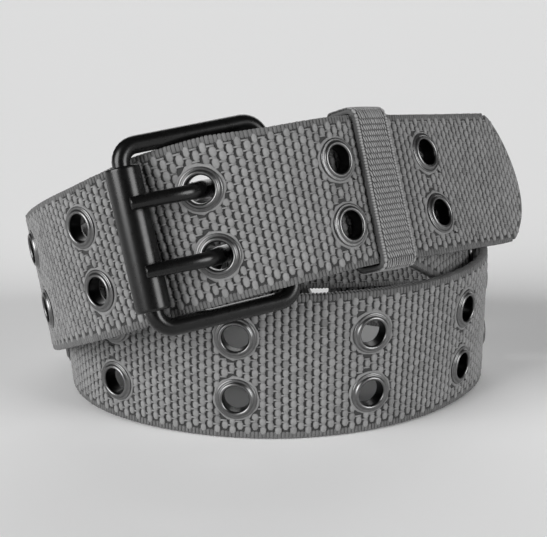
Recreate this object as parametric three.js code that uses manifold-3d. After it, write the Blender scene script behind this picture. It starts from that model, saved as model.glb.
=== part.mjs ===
import * as THREE from "three";
import { mergeVertices } from "three/addons/utils/BufferGeometryUtils.js";
import Module from "manifold-3d";

// A woven webbing belt, buckled and rolled into a coil of a little over two turns that stands on its edge.
// The origin is under the middle of the coil, +Z is up and the buckle faces -Y.

const strapWidth = 37;
const strapThick = 2.6;
const rollRadius = 57;
const layerGap = 1.5;
const knotTurn = 10;
const samples = 12;
const smoothTurn = 16;

const eyeletPitch = 34.2;
const rowSpacing = 16;
const eyeletHole = 6.7;
const eyeletOuter = 10.6;
const eyeletWall = 0.5;
const flangeThick = 0.35;
const flangeGap = 0.6;
const boreGap = 0.3;
const eyeletSides = 8;

const prongTurn = 707.5;
const tipReach = 116.6;
const tipBulge = 12.2;

const wireDiameter = 4.3;
const frameClear = 1.05;
const frameReach = 34.6;
const frameCorner = 4.2;
const frameRise = 0.1;
const frameDroop = 2.5;
const barShare = 0.53;
const rollerDiameter = 8.4;
const rollerChamfer = 0.4;
const rollerGap = 0.55;
const foldGap = 0.75;
const partGap = 0.35;

const prongDiameter = 3.2;
const prongClear = 0.7;
const prongEntry = 2.4;
const prongExit = 2.6;
const prongBend = 0.6;
const prongCrest = 4;
const prongArch = 0.5;
const prongOver = 1.2;

const keeperWide = 12.5;
const keeperThick = 1.6;
const keeperStation = 47.5;
const keeperSlack = 0.95;
const keeperCorner = 1;
const keeperClear = 3;
const returnReach = 20;
const slotRun = 8;
const cutSpare = 1;

const frameHeight = strapWidth + 2 * frameClear + wireDiameter;
const rollerLength = frameHeight - 2 * (frameCorner + frameClear / 2);

// The roll, read along the strap from the buckle end to the tip. Turn is the angle in degrees about the
// middle of the coil, counted from the front towards the right. Out is the distance from the middle as a
// share of rollRadius, lift is the height of the lower edge as a share of strapWidth, and lean is the angle
// in degrees by which the top edge stands further out than the lower edge.
const roll = [
  { turn: 78, out: 0.905, lift: 0.72, lean: -10 },
  { turn: 100, out: 0.925, lift: 0.6, lean: -5 },
  { turn: 130, out: 0.86, lift: 0.45, lean: -2 },
  { turn: 160, out: 0.79, lift: 0.335, lean: 0 },
  { turn: 190, out: 0.76, lift: 0.325, lean: 0 },
  { turn: 220, out: 0.8, lift: 0.27, lean: 1 },
  { turn: 245, out: 0.89, lift: 0.165, lean: 2 },
  { turn: 270, out: 1.0, lift: 0.06, lean: 4 },
  { turn: 300, out: 1.05, lift: 0.012, lean: 5 },
  { turn: 330, out: 1.0, lift: 0, lean: 3 },
  { turn: 360, out: 0.975, lift: 0, lean: 0 },
  { turn: 390, out: 0.98, lift: 0, lean: 3 },
  { turn: 420, out: 0.995, lift: 0, lean: 4 },
  { turn: 450, out: 1.03, lift: 0, lean: 0 },
  { turn: 480, out: 1.0, lift: 0, lean: 0 },
  { turn: 510, out: 0.93, lift: 0, lean: 0 },
  { turn: 540, out: 0.9, lift: 0.02, lean: 1 },
  { turn: 570, out: 0.935, lift: 0.06, lean: 4 },
  { turn: 600, out: 1.06, lift: 0.12, lean: 8 },
  { turn: 630, out: 1.12, lift: 0.235, lean: 10 },
  { turn: 650, out: 1.16, lift: 0.37, lean: 9 },
  { turn: 670, out: 1.235, lift: 0.605, lean: 6 },
  { turn: 690, out: 1.288, lift: 0.878, lean: -2 },
  { turn: 710, out: 1.24, lift: 1.125, lean: -11.5 },
  { turn: 730, out: 1.108, lift: 1.24, lean: -18.7 },
  { turn: 750, out: 0.91, lift: 1.212, lean: -22.2 },
  { turn: 770, out: 0.918, lift: 1.172, lean: -22.4 },
  { turn: 790, out: 0.918, lift: 1.117, lean: -23.6 },
  { turn: 822, out: 1.28, lift: 0.992, lean: -23 },
];

const firstTurn = roll[0].turn;
const lastTurn = roll[roll.length - 1].turn;
const knotCount = Math.ceil((lastTurn - firstTurn) / knotTurn);

const radians = (degrees) => THREE.MathUtils.degToRad(degrees);

// A column of the roll at any turn: a smooth curve through the rows, averaged over a short stretch.
const rowSlope = (column, index) => {
  const before = roll[Math.max(index - 1, 0)];
  const after = roll[Math.min(index + 1, roll.length - 1)];
  return (after[column] - before[column]) / (after.turn - before.turn);
};
const columnAt = (column, turn) => {
  const found = roll.findIndex((row) => row.turn > turn);
  const index = found < 0 ? roll.length - 2 : Math.max(found - 1, 0);
  const span = roll[index + 1].turn - roll[index].turn;
  const share = THREE.MathUtils.clamp((turn - roll[index].turn) / span, 0, 1);
  const rest = 1 - share;
  return roll[index][column] * rest * rest * (1 + 2 * share)
    + roll[index + 1][column] * share * share * (3 - 2 * share)
    + rowSlope(column, index) * span * share * rest * rest
    - rowSlope(column, index + 1) * span * share * share * rest;
};
const averageAt = (column, turn) => {
  const reach = Math.min(smoothTurn, turn - firstTurn, lastTurn - turn);
  let sum = 0;
  for (const [offset, weight] of [[-1, 0.1], [-0.5, 0.22], [0, 0.36], [0.5, 0.22], [1, 0.1]]) {
    sum += weight * columnAt(column, turn + offset * reach);
  }
  return sum;
};

// A knot is a place on the middle of the strap, with the direction across the strap towards its upper edge.
const rollKnot = (degrees) => {
  const turn = radians(degrees);
  const lean = radians(averageAt("lean", degrees));
  const outward = new THREE.Vector3(Math.sin(turn), -Math.cos(turn), 0);
  const half = (strapWidth / 2) * Math.cos(lean) + (strapThick / 2) * Math.abs(Math.sin(lean));
  const place = outward.clone().multiplyScalar(averageAt("out", degrees) * rollRadius);
  place.z = averageAt("lift", degrees) * strapWidth + half;
  const across = outward.clone().multiplyScalar(Math.sin(lean));
  across.z = Math.cos(lean);
  return { place, across };
};
const rollKnots = [];
for (let step = 0; step <= knotCount; step += 1) {
  rollKnots.push(rollKnot(firstTurn + ((lastTurn - firstTurn) * step) / knotCount));
}

// A route turns knots into a smooth line that can be asked for its frame at any distance along it.
const makeRoute = (knots) => {
  const line = new THREE.CatmullRomCurve3(knots.map((knot) => knot.place), false, "centripetal");
  const sides = new THREE.CatmullRomCurve3(knots.map((knot) => knot.across), false, "catmullrom", 0.5);
  const count = (knots.length - 1) * samples;
  const distances = [0];
  let before = line.getPoint(0);
  for (let index = 1; index <= count; index += 1) {
    const here = line.getPoint(index / count);
    distances.push(distances[index - 1] + here.distanceTo(before));
    before = here;
  }
  const shareAt = (distance) => {
    let index = 1;
    while (index < count && distances[index] < distance) {
      index += 1;
    }
    const step = distances[index] - distances[index - 1];
    return (index - 1 + (distance - distances[index - 1]) / step) / count;
  };
  const at = (distance) => {
    const share = THREE.MathUtils.clamp(shareAt(distance), 0, 1);
    const along = line.getTangent(share);
    const across = sides.getPoint(share);
    across.addScaledVector(along, -across.dot(along)).normalize();
    const outward = new THREE.Vector3().crossVectors(along, across);
    return { place: line.getPoint(share), along, across, outward };
  };
  return { at, length: distances[count], distances };
};

// The outer turn comes first, because the buckle is placed from it.
const outerRoute = makeRoute(rollKnots);

const distanceAtTurn = (route, turn) => {
  let best = 0;
  let nearest = Infinity;
  for (let share = 0.7; share < 1; share += 0.0003) {
    const place = route.at(route.length * share).place;
    const angle = THREE.MathUtils.radToDeg(Math.atan2(place.x, -place.y)) + 720;
    if (Math.abs(angle - turn) < nearest) {
      nearest = Math.abs(angle - turn);
      best = route.length * share;
    }
  }
  return best;
};

const prongMark = distanceAtTurn(outerRoute, prongTurn);
const overTip = (reach) => outerRoute.at(prongMark + reach);

// The buckle's frame is flat. The strap passes inside its roller and outside its bar.
const rollerOffset = rollerDiameter / 2 + rollerGap + strapThick / 2;
const barOffset = wireDiameter / 2 + partGap + strapThick * 1.5 + foldGap;
const barReach = frameReach * barShare;
const barMark = overTip(barReach);
const barPlace = barMark.place.clone().addScaledVector(barMark.outward, -barOffset);
const rollerAt = (reach) => {
  const mark = overTip(-reach);
  return mark.place.clone().addScaledVector(mark.outward, rollerOffset);
};
let rollerReach = frameReach * (1 - barShare) * 0.5;
while (rollerAt(rollerReach).distanceTo(barPlace) < frameReach) {
  rollerReach += frameReach * 0.002;
}
const rollerPlace = rollerAt(rollerReach);
const buckleMiddle = rollerPlace.clone().add(barPlace).multiplyScalar(0.5);
const towardsRoller = rollerPlace.clone().sub(barPlace).normalize();
const buckleAcross = overTip(0).across.clone();
buckleAcross.addScaledVector(towardsRoller, -buckleAcross.dot(towardsRoller)).normalize();
const buckleOut = new THREE.Vector3().crossVectors(buckleAcross, towardsRoller).normalize();
towardsRoller.applyAxisAngle(buckleOut, radians(-frameDroop));
buckleAcross.applyAxisAngle(buckleOut, radians(-frameDroop));
const barAxis = buckleMiddle.clone().addScaledVector(towardsRoller, -frameReach / 2);
barAxis.addScaledVector(buckleAcross, frameRise);

const bucklePlace = (reach, across, out) => {
  const place = barAxis.clone().addScaledVector(towardsRoller, reach);
  return place.addScaledVector(buckleAcross, across).addScaledVector(buckleOut, out);
};

// The buckle end runs under the tip, round the bar and back along its own inner face.
const underTip = (reach, layers) => {
  const mark = overTip(reach);
  const place = mark.place.clone().addScaledVector(mark.outward, -layers * (strapThick + layerGap));
  return { place, across: mark.across };
};
const foldRadius = wireDiameter / 2 + partGap + strapThick / 2;
const returnEnd = barReach + returnReach;
const foldKnots = [underTip(returnEnd, 2), underTip(barReach + returnReach * 0.6, 2)];
for (const angle of [-100, -65, -30, 5, 40, 75, 105]) {
  const turn = radians(angle);
  const place = bucklePlace(foldRadius * Math.cos(turn), 0, foldRadius * Math.sin(turn));
  foldKnots.push({ place, across: buckleAcross });
}
const keeperEnd = keeperStation + keeperWide / 2 + keeperClear;
for (const share of [0.3, 0.5, 0.75, 1]) {
  foldKnots.push(underTip(barReach + (keeperEnd - barReach) * share, 1));
}
const knots = [...foldKnots, ...rollKnots];
const route = makeRoute(knots);
const strapEnd = route.length - (outerRoute.length - prongMark) + tipReach;
const prongPlace = strapEnd - tipReach;
const foldEnd = route.distances[samples * 8];

// Stations are close together round the bar. Along the rest of the strap they fall midway between the
// quarters of the eyelet pitch, so that each eyelet sits between two of them.
const stations = [];
for (let index = 0; index <= 4; index += 1) {
  stations.push((route.distances[samples] * index) / 4);
}
for (let index = 1; index <= 16; index += 1) {
  stations.push(route.distances[samples] + ((foldEnd - route.distances[samples]) * index) / 16);
}
const evenStep = eyeletPitch / 4;
const pastFold = foldEnd + slotRun;
stations.push(foldEnd + slotRun / 2, pastFold);
const firstEven = Math.ceil((pastFold - prongPlace) / evenStep + 0.25);
for (let index = firstEven; prongPlace + (index + 0.75) * evenStep < strapEnd; index += 1) {
  stations.push(prongPlace + (index + 0.5) * evenStep);
}
stations.push(strapEnd);

// Hands the frames of chosen stations to an extrusion, so that its section keeps to the strap's own lean.
class StationPath extends THREE.Curve {
  constructor(frames) {
    super();
    this.frames = frames;
  }

  getPoint(share) {
    return this.frames[Math.round(share * (this.frames.length - 1))].place.clone();
  }

  getSpacedPoints() {
    return this.frames.map((frame) => frame.place);
  }

  computeFrenetFrames() {
    return {
      tangents: this.frames.map((frame) => frame.along),
      normals: this.frames.map((frame) => frame.across),
      binormals: this.frames.map((frame) => frame.outward),
    };
  }
}

const flatSection = (width, thick) => new THREE.Shape([
  new THREE.Vector2(width / 2, -thick / 2),
  new THREE.Vector2(width / 2, thick / 2),
  new THREE.Vector2(-width / 2, thick / 2),
  new THREE.Vector2(-width / 2, -thick / 2),
]);

const sweep = (section, frames) => new THREE.ExtrudeGeometry(section, {
  steps: frames.length - 1,
  extrudePath: new StationPath(frames),
  bevelEnabled: false,
});

const wasm = await Module();
wasm.setup();

const toSolid = (geometry) => {
  const bare = geometry.clone();
  bare.deleteAttribute("normal");
  bare.deleteAttribute("uv");
  const merged = mergeVertices(bare, 1e-4);
  return new wasm.Manifold(new wasm.Mesh({
    numProp: 3,
    vertProperties: new Float32Array(merged.attributes.position.array),
    triVerts: new Uint32Array(merged.index.array),
  }));
};

const toGeometry = (solid) => {
  const mesh = solid.getMesh();
  const geometry = new THREE.BufferGeometry();
  geometry.setAttribute("position", new THREE.BufferAttribute(new Float32Array(mesh.vertProperties), 3));
  geometry.setIndex(new THREE.BufferAttribute(new Uint32Array(mesh.triVerts), 1));
  geometry.computeVertexNormals();
  return geometry;
};

// Turns a frame into a matrix whose X runs along the strap, Y across it and Z out of its face.
const frameMatrix = (along, across, outward, place) => {
  const matrix = new THREE.Matrix4().makeBasis(along, across, outward);
  return matrix.setPosition(place);
};

const stationMatrix = (distance, across) => {
  const frame = route.at(distance);
  const place = frame.place.clone().addScaledVector(frame.across, across);
  return frameMatrix(frame.along, frame.across, frame.outward, place);
};

// Pairs of eyelets are counted from the pair that the prongs pass through.
const pairs = [];
const firstPair = Math.floor((tipReach - tipBulge - eyeletOuter) / eyeletPitch);
const clearOfKeeper = foldEnd + (keeperStation + keeperWide) - barReach;
for (let step = firstPair; prongPlace + step * eyeletPitch > clearOfKeeper; step -= 1) {
  pairs.push(prongPlace + step * eyeletPitch);
}

const belt = new THREE.Group();
const woven = { color: 0x8a8a8a, roughness: 0.95, metalness: 0 };
const gunmetal = { color: 0x55585a, roughness: 0.35, metalness: 1 };
const blackGloss = { color: 0x101010, roughness: 0.25, metalness: 0.4 };

const addPiece = (name, geometry, look, matrix = new THREE.Matrix4()) => {
  const mesh = new THREE.Mesh(geometry, new THREE.MeshStandardMaterial(look));
  mesh.name = name;
  matrix.decompose(mesh.position, mesh.quaternion, mesh.scale);
  belt.add(mesh);
};

const strapFrames = stations.map((distance) => route.at(distance));
let strap = toSolid(sweep(flatSection(strapWidth, strapThick), strapFrames));

// The end of the strap is an arc, cut straight through its thickness.
const beyondTip = new THREE.Shape();
beyondTip.moveTo(-tipBulge, strapWidth / 2 + cutSpare);
for (let index = 0; index <= 12; index += 1) {
  const share = 1 - index / 6;
  beyondTip.lineTo(-tipBulge * share * share, share * (strapWidth / 2 + cutSpare / 10));
}
beyondTip.lineTo(-tipBulge, -strapWidth / 2 - cutSpare);
beyondTip.lineTo(3 * cutSpare, -strapWidth / 2 - cutSpare);
beyondTip.lineTo(3 * cutSpare, strapWidth / 2 + cutSpare);
const cutDepth = strapThick + 2 * cutSpare;
const tipCutter = new THREE.ExtrudeGeometry(beyondTip, { depth: cutDepth, bevelEnabled: false });
tipCutter.translate(0, 0, -cutDepth / 2);
tipCutter.applyMatrix4(stationMatrix(strapEnd, 0));
strap = strap.subtract(toSolid(tipCutter));

const boreRadius = eyeletHole / 2 + eyeletWall + boreGap;
for (const distance of pairs) {
  for (const across of [rowSpacing / 2, -rowSpacing / 2]) {
    const bore = new THREE.CylinderGeometry(boreRadius, boreRadius, cutDepth, eyeletSides);
    bore.rotateX(Math.PI / 2);
    bore.applyMatrix4(stationMatrix(distance, across));
    strap = strap.subtract(toSolid(bore));
  }
}

// Two slots in the fold let the prongs reach the bar.
const slotStart = route.distances[samples] - cutSpare;
const slotStations = stations.filter((distance) => distance > slotStart && distance <= pastFold);
const slotFrames = slotStations.map((distance) => route.at(distance));
for (const across of [rowSpacing / 2, -rowSpacing / 2]) {
  const frames = slotFrames.map((frame) => ({
    ...frame,
    place: frame.place.clone().addScaledVector(frame.across, across),
  }));
  const slot = sweep(flatSection(prongDiameter + 2 * prongClear, strapThick + cutSpare * 0.3), frames);
  strap = strap.subtract(toSolid(slot));
}
addPiece("strap", toGeometry(strap), woven);

// Each eyelet is a rolled ring with a flange on both faces of the strap.
const faceHeight = strapThick / 2 + flangeGap;
const rimHeight = faceHeight + flangeThick;
const eyeletProfile = [
  new THREE.Vector2(eyeletHole / 2, -rimHeight),
  new THREE.Vector2(eyeletOuter / 2, -faceHeight),
  new THREE.Vector2(eyeletHole / 2 + eyeletWall, -faceHeight),
  new THREE.Vector2(eyeletHole / 2 + eyeletWall, faceHeight),
  new THREE.Vector2(eyeletOuter / 2, faceHeight),
  new THREE.Vector2(eyeletHole / 2, rimHeight),
  new THREE.Vector2(eyeletHole / 2, -rimHeight),
];
pairs.forEach((distance, index) => {
  for (const [row, across] of [["upper", rowSpacing / 2], ["lower", -rowSpacing / 2]]) {
    const ring = new THREE.LatheGeometry(eyeletProfile, eyeletSides);
    ring.rotateX(Math.PI / 2);
    addPiece(`eyelet_${row}_${index + 1}`, ring, gunmetal, stationMatrix(distance, across));
  }
});

// The frame is a rounded rectangle of round wire, made as a flat ring whose edges are fully rounded.
const roundedOutline = (target, width, height, radius, x) => {
  const left = x - width / 2;
  const right = x + width / 2;
  const top = height / 2;
  target.moveTo(left + radius, -top);
  target.lineTo(right - radius, -top);
  target.absarc(right - radius, -top + radius, radius, -Math.PI / 2, 0, false);
  target.lineTo(right, top - radius);
  target.absarc(right - radius, top - radius, radius, 0, Math.PI / 2, false);
  target.lineTo(left + radius, top);
  target.absarc(left + radius, top - radius, radius, Math.PI / 2, Math.PI, false);
  target.lineTo(left, -top + radius);
  target.absarc(left + radius, -top + radius, radius, Math.PI, Math.PI * 1.5, false);
  return target;
};
const wireRadius = wireDiameter / 2;
const wireCore = wireRadius * 0.12;
const frameShape = roundedOutline(
  new THREE.Shape(),
  frameReach + 2 * wireCore,
  frameHeight + 2 * wireCore,
  frameCorner + wireCore,
  frameReach / 2,
);
frameShape.holes.push(roundedOutline(
  new THREE.Path(),
  frameReach - 2 * wireCore,
  frameHeight - 2 * wireCore,
  frameCorner - wireCore,
  frameReach / 2,
));
const frameRing = new THREE.ExtrudeGeometry(frameShape, {
  depth: 2 * wireCore,
  curveSegments: 4,
  bevelThickness: wireRadius - wireCore,
  bevelSize: wireRadius - wireCore,
  bevelSegments: 2,
});
frameRing.translate(0, 0, -wireCore);
const buckleMatrix = frameMatrix(towardsRoller, buckleAcross.clone().negate(), buckleOut, barAxis);
addPiece("buckle_frame", frameRing, blackGloss, buckleMatrix);

const rollerShell = new THREE.LatheGeometry([
  new THREE.Vector2(wireRadius + partGap, -rollerLength / 2),
  new THREE.Vector2(rollerDiameter / 2 - rollerChamfer, -rollerLength / 2),
  new THREE.Vector2(rollerDiameter / 2, -rollerLength / 2 + rollerChamfer),
  new THREE.Vector2(rollerDiameter / 2, rollerLength / 2 - rollerChamfer),
  new THREE.Vector2(rollerDiameter / 2 - rollerChamfer, rollerLength / 2),
  new THREE.Vector2(wireRadius + partGap, rollerLength / 2),
  new THREE.Vector2(wireRadius + partGap, -rollerLength / 2),
], 16);
rollerShell.translate(frameReach, 0, 0);
addPiece("roller", rollerShell, blackGloss, buckleMatrix);

// Each prong curls round the bar, runs along the inside, comes out through its hole and rests on the roller.
const curlRadius = wireRadius + partGap + prongDiameter / 2;
const holeMark = route.at(prongPlace);
for (const [name, across] of [["prong_upper", rowSpacing / 2], ["prong_lower", -rowSpacing / 2]]) {
  const hole = holeMark.place.clone().addScaledVector(holeMark.across, across);
  const level = hole.clone().sub(barAxis).dot(buckleAcross);
  const points = [];
  for (const angle of [130, 165, 200, 235, 270]) {
    const turn = radians(angle);
    points.push(bucklePlace(curlRadius * Math.cos(turn), level, curlRadius * Math.sin(turn)));
  }
  const outside = strapThick / 2 + flangeGap + flangeThick + prongDiameter / 2 + partGap;
  const nearHole = (out, along) =>
    hole.clone().addScaledVector(holeMark.outward, out).addScaledVector(holeMark.along, along);
  points.push(nearHole(-outside - prongBend, prongEntry));
  points.push(hole);
  points.push(nearHole(outside, -prongExit));
  const restHeight = rollerDiameter / 2 + partGap + prongDiameter / 2;
  points.push(bucklePlace(frameReach - prongCrest, level, restHeight + prongArch));
  points.push(bucklePlace(frameReach + prongOver, level, restHeight));
  const centre = new THREE.CatmullRomCurve3(points, false, "centripetal");
  const frames = [];
  const steps = 20;
  for (let index = 0; index <= steps; index += 1) {
    const place = centre.getPoint(index / steps);
    const along = centre.getTangent(index / steps);
    const side = buckleAcross.clone().addScaledVector(along, -buckleAcross.dot(along)).normalize();
    frames.push({ place, along, across: side, outward: new THREE.Vector3().crossVectors(along, side) });
  }
  const round = new THREE.Shape();
  for (let index = 0; index < 8; index += 1) {
    const turn = (index / 8) * Math.PI * 2;
    const corner = new THREE.Vector2(Math.cos(turn), Math.sin(turn)).multiplyScalar(prongDiameter / 2);
    if (index === 0) {
      round.moveTo(corner.x, corner.y);
    } else {
      round.lineTo(corner.x, corner.y);
    }
  }
  addPiece(name, sweep(round, frames), blackGloss);
}

// The keeper is a flat webbing loop round the tip and the buckle end together.
const keeperInside = strapThick * 2 + layerGap + 2 * keeperSlack;
const keeperSpan = strapWidth + 2 * keeperSlack;
const keeperShape = roundedOutline(
  new THREE.Shape(),
  keeperInside + 2 * keeperThick,
  keeperSpan + 2 * keeperThick,
  keeperThick + keeperCorner,
  0,
);
keeperShape.holes.push(roundedOutline(new THREE.Path(), keeperInside, keeperSpan, keeperCorner, 0));
const keeperLoop = new THREE.ExtrudeGeometry(keeperShape, {
  depth: keeperWide,
  curveSegments: 3,
  bevelEnabled: false,
});
keeperLoop.translate(-(strapThick + layerGap) / 2, 0, -keeperWide / 2);
const keeperMark = overTip(keeperStation);
const keeperMatrix = frameMatrix(
  keeperMark.outward,
  keeperMark.across.clone().negate(),
  keeperMark.along,
  keeperMark.place,
);
addPiece("keeper", keeperLoop, woven, keeperMatrix);

// The coil is centred over the origin.
const extent = new THREE.Box3().setFromObject(belt);
const middle = extent.getCenter(new THREE.Vector3());
for (const mesh of belt.children) {
  mesh.position.x -= middle.x;
  mesh.position.y -= middle.y;
  mesh.position.z -= extent.min.z;
}

export default belt;
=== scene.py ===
import math

import bmesh
import bpy
import numpy as np
from mathutils import Matrix, Vector


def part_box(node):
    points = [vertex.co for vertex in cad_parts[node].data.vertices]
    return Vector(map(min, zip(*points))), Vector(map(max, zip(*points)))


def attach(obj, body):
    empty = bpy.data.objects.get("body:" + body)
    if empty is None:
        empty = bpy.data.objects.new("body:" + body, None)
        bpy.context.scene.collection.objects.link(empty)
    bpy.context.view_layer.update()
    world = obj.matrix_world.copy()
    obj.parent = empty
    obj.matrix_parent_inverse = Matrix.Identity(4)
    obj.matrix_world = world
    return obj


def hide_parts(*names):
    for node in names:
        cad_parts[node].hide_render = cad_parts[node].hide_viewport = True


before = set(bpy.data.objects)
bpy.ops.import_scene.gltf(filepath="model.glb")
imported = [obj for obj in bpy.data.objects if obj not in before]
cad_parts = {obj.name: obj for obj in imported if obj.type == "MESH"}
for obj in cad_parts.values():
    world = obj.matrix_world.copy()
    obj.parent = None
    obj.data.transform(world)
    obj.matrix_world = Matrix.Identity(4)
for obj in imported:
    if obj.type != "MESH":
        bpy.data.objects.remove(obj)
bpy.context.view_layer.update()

# A woven webbing belt, buckled and rolled.
# Lengths are millimetres up to the point where a mesh is placed.
draw = np.random.default_rng(11)
metre = 0.001

belt = {
    "width": 37.0,
    "thick": 2.6,
    "rollRadius": 57.0,
    "layerGap": 1.5,  # between the tip and the strap under it
    "knotTurn": 10.0,  # degrees from one knot of the curve to the next
    "smoothTurn": 16.0,
    "samples": 12,  # in each span of the curve
    "searchFrom": 0.7,  # share of the curve where the prongs' place is looked for
    "searchStep": 0.0003,
    "eyeletPitch": 34.2,
    "eyeletOuter": 10.6,
    "rowSpacing": 16.0,
    "prongTurn": 707.5,
    "tipReach": 116.6,  # from the prongs to the tip
    "tipBulge": 12.2,
    "returnReach": 20.0,  # the folded end, back from the bar
    "slotRun": 8.0,
    "slotWide": 4.6,
}
buckle = {
    "wire": 4.3,
    "height": 43.4,
    "reach": 34.6,
    "corner": 4.2,
    "rise": 0.1,
    "droop": 2.5,
    "barShare": 0.53,  # where the middle bar stands in the reach
    "roller": 8.4,
    "rollerLength": 34.15,
    "rollerGap": 0.55,
    "foldGap": 0.75,
    "partGap": 0.35,
    "prong": 3.2,
    "rollerStart": 0.5,  # share of the reach where the roller's place is first tried
    "rollerStep": 0.002,
}
keeper = {
    "wide": 12.5,
    "thick": 1.6,
    "station": 47.5,
    "clear": 3.0,
}

# turn, out, lift, lean: the same roll as the CAD source, as shares of the belt's own sizes
rollTable = [
    (78, 0.905, 0.72, -10), (100, 0.925, 0.6, -5), (130, 0.86, 0.45, -2), (160, 0.79, 0.335, 0),
    (190, 0.76, 0.325, 0), (220, 0.8, 0.27, 1), (245, 0.89, 0.165, 2), (270, 1.0, 0.06, 4),
    (300, 1.05, 0.012, 5), (330, 1.0, 0, 3), (360, 0.975, 0, 0), (390, 0.98, 0, 3),
    (420, 0.995, 0, 4), (450, 1.03, 0, 0), (480, 1.0, 0, 0), (510, 0.93, 0, 0),
    (540, 0.9, 0.02, 1), (570, 0.935, 0.06, 4), (600, 1.06, 0.12, 8), (630, 1.12, 0.235, 10),
    (650, 1.16, 0.37, 9), (670, 1.235, 0.605, 6), (690, 1.288, 0.878, -2), (710, 1.24, 1.125, -11.5),
    (730, 1.108, 1.24, -18.7), (750, 0.91, 1.212, -22.2), (770, 0.918, 1.172, -22.4),
    (790, 0.918, 1.117, -23.6), (822, 1.28, 0.992, -23),
]
firstTurn = rollTable[0][0]
lastTurn = rollTable[-1][0]


def rowSlope(column, index):
    before = rollTable[max(index - 1, 0)]
    after = rollTable[min(index + 1, len(rollTable) - 1)]
    return (after[column] - before[column]) / (after[0] - before[0])


def columnAt(column, turn):
    later = [i for i, row in enumerate(rollTable) if row[0] > turn]
    index = max(later[0] - 1, 0) if later else len(rollTable) - 2
    span = rollTable[index + 1][0] - rollTable[index][0]
    share = min(max((turn - rollTable[index][0]) / span, 0), 1)
    rest = 1 - share
    return (
        rollTable[index][column] * rest * rest * (1 + 2 * share)
        + rollTable[index + 1][column] * share * share * (3 - 2 * share)
        + rowSlope(column, index) * span * share * rest * rest
        - rowSlope(column, index + 1) * span * share * share * rest
    )


def averageAt(column, turn):
    reach = min(belt["smoothTurn"], turn - firstTurn, lastTurn - turn)
    weights = ((-1, 0.1), (-0.5, 0.22), (0, 0.36), (0.5, 0.22), (1, 0.1))
    return sum(weight * columnAt(column, turn + offset * reach) for offset, weight in weights)


def rollKnot(degrees):
    turn = math.radians(degrees)
    lean = math.radians(averageAt(3, degrees))
    outward = np.array([math.sin(turn), -math.cos(turn), 0.0])
    half = belt["width"] / 2 * math.cos(lean) + belt["thick"] / 2 * abs(math.sin(lean))
    place = outward * averageAt(1, degrees) * belt["rollRadius"]
    place[2] = averageAt(2, degrees) * belt["width"] + half
    across = outward * math.sin(lean)
    across[2] = math.cos(lean)
    return place, across


def splineSpans(points, centripetal):
    # cubic coefficients of each span of a Catmull-Rom spline
    points = np.array(points)
    points = np.vstack([2 * points[0] - points[1], points, 2 * points[-1] - points[-2]])
    spans = []
    for a, b, c, d in zip(points, points[1:], points[2:], points[3:]):
        if centripetal:
            first, second, third = (np.linalg.norm(q - p) ** 0.5 for p, q in ((a, b), (b, c), (c, d)))
            slopeB = ((b - a) / first - (c - a) / (first + second) + (c - b) / second) * second
            slopeC = ((c - b) / second - (d - b) / (second + third) + (d - c) / third) * second
        else:
            slopeB = (c - a) / 2
            slopeC = (d - b) / 2
        spans.append([b, slopeB, 3 * (c - b) - 2 * slopeB - slopeC, 2 * (b - c) + slopeB + slopeC])
    return np.array(spans)


def spanValue(spans, u):
    index = np.clip(np.floor(u).astype(int), 0, len(spans) - 1)
    w = (u - index)[:, None]
    k = spans[index]
    return k[:, 0] + w * (k[:, 1] + w * (k[:, 2] + w * k[:, 3]))


def spanSlope(spans, u):
    index = np.clip(np.floor(u).astype(int), 0, len(spans) - 1)
    w = (u - index)[:, None]
    k = spans[index]
    return k[:, 1] + w * (2 * k[:, 2] + w * 3 * k[:, 3])


def unit(rows):
    return rows / np.linalg.norm(rows, axis=-1, keepdims=True)


def makeRoute(knots):
    line = splineSpans([place for place, across in knots], True)
    sides = splineSpans([across for place, across in knots], False)
    u = np.linspace(0, len(line), len(line) * belt["samples"] + 1)
    steps = np.linalg.norm(np.diff(spanValue(line, u), axis=0), axis=1)
    distances = np.concatenate([[0], np.cumsum(steps)])
    return {"line": line, "sides": sides, "u": u, "distances": distances, "length": distances[-1]}


def framesAt(route, distance):
    # place, along, across and outward at distances along the route
    distance = np.atleast_1d(np.asarray(distance, float))
    inside = np.clip(distance, 0, route["length"])
    u = np.interp(inside, route["distances"], route["u"])
    along = unit(spanSlope(route["line"], u))
    place = spanValue(route["line"], u) + along * (distance - inside)[:, None]
    across = spanValue(route["sides"], u)
    across = unit(across - along * np.sum(across * along, axis=1, keepdims=True))
    return place, along, across, np.cross(along, across)


knotCount = math.ceil((lastTurn - firstTurn) / belt["knotTurn"])
rollKnots = [
    rollKnot(firstTurn + (lastTurn - firstTurn) * step / knotCount) for step in range(knotCount + 1)
]
outerRoute = makeRoute(rollKnots)
search = outerRoute["length"] * np.arange(belt["searchFrom"], 1, belt["searchStep"])
searchPlace = framesAt(outerRoute, search)[0]
searchTurn = np.degrees(np.arctan2(searchPlace[:, 0], -searchPlace[:, 1])) + 720
prongMark = search[np.argmin(abs(searchTurn - belt["prongTurn"]))]


def overTip(reach):
    return [row[0] for row in framesAt(outerRoute, prongMark + reach)]


def turned(vector, axis, degrees):
    return np.array(Matrix.Rotation(math.radians(degrees), 3, Vector(axis)) @ Vector(vector))


# the buckle's own directions, as in the CAD source
rollerOffset = buckle["roller"] / 2 + buckle["rollerGap"] + belt["thick"] / 2
barOffset = buckle["wire"] / 2 + buckle["partGap"] + belt["thick"] * 1.5 + buckle["foldGap"]
barReach = buckle["reach"] * buckle["barShare"]
barMark = overTip(barReach)
barPlace = barMark[0] - barMark[3] * barOffset


def rollerAt(reach):
    mark = overTip(-reach)
    return mark[0] + mark[3] * rollerOffset


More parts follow.
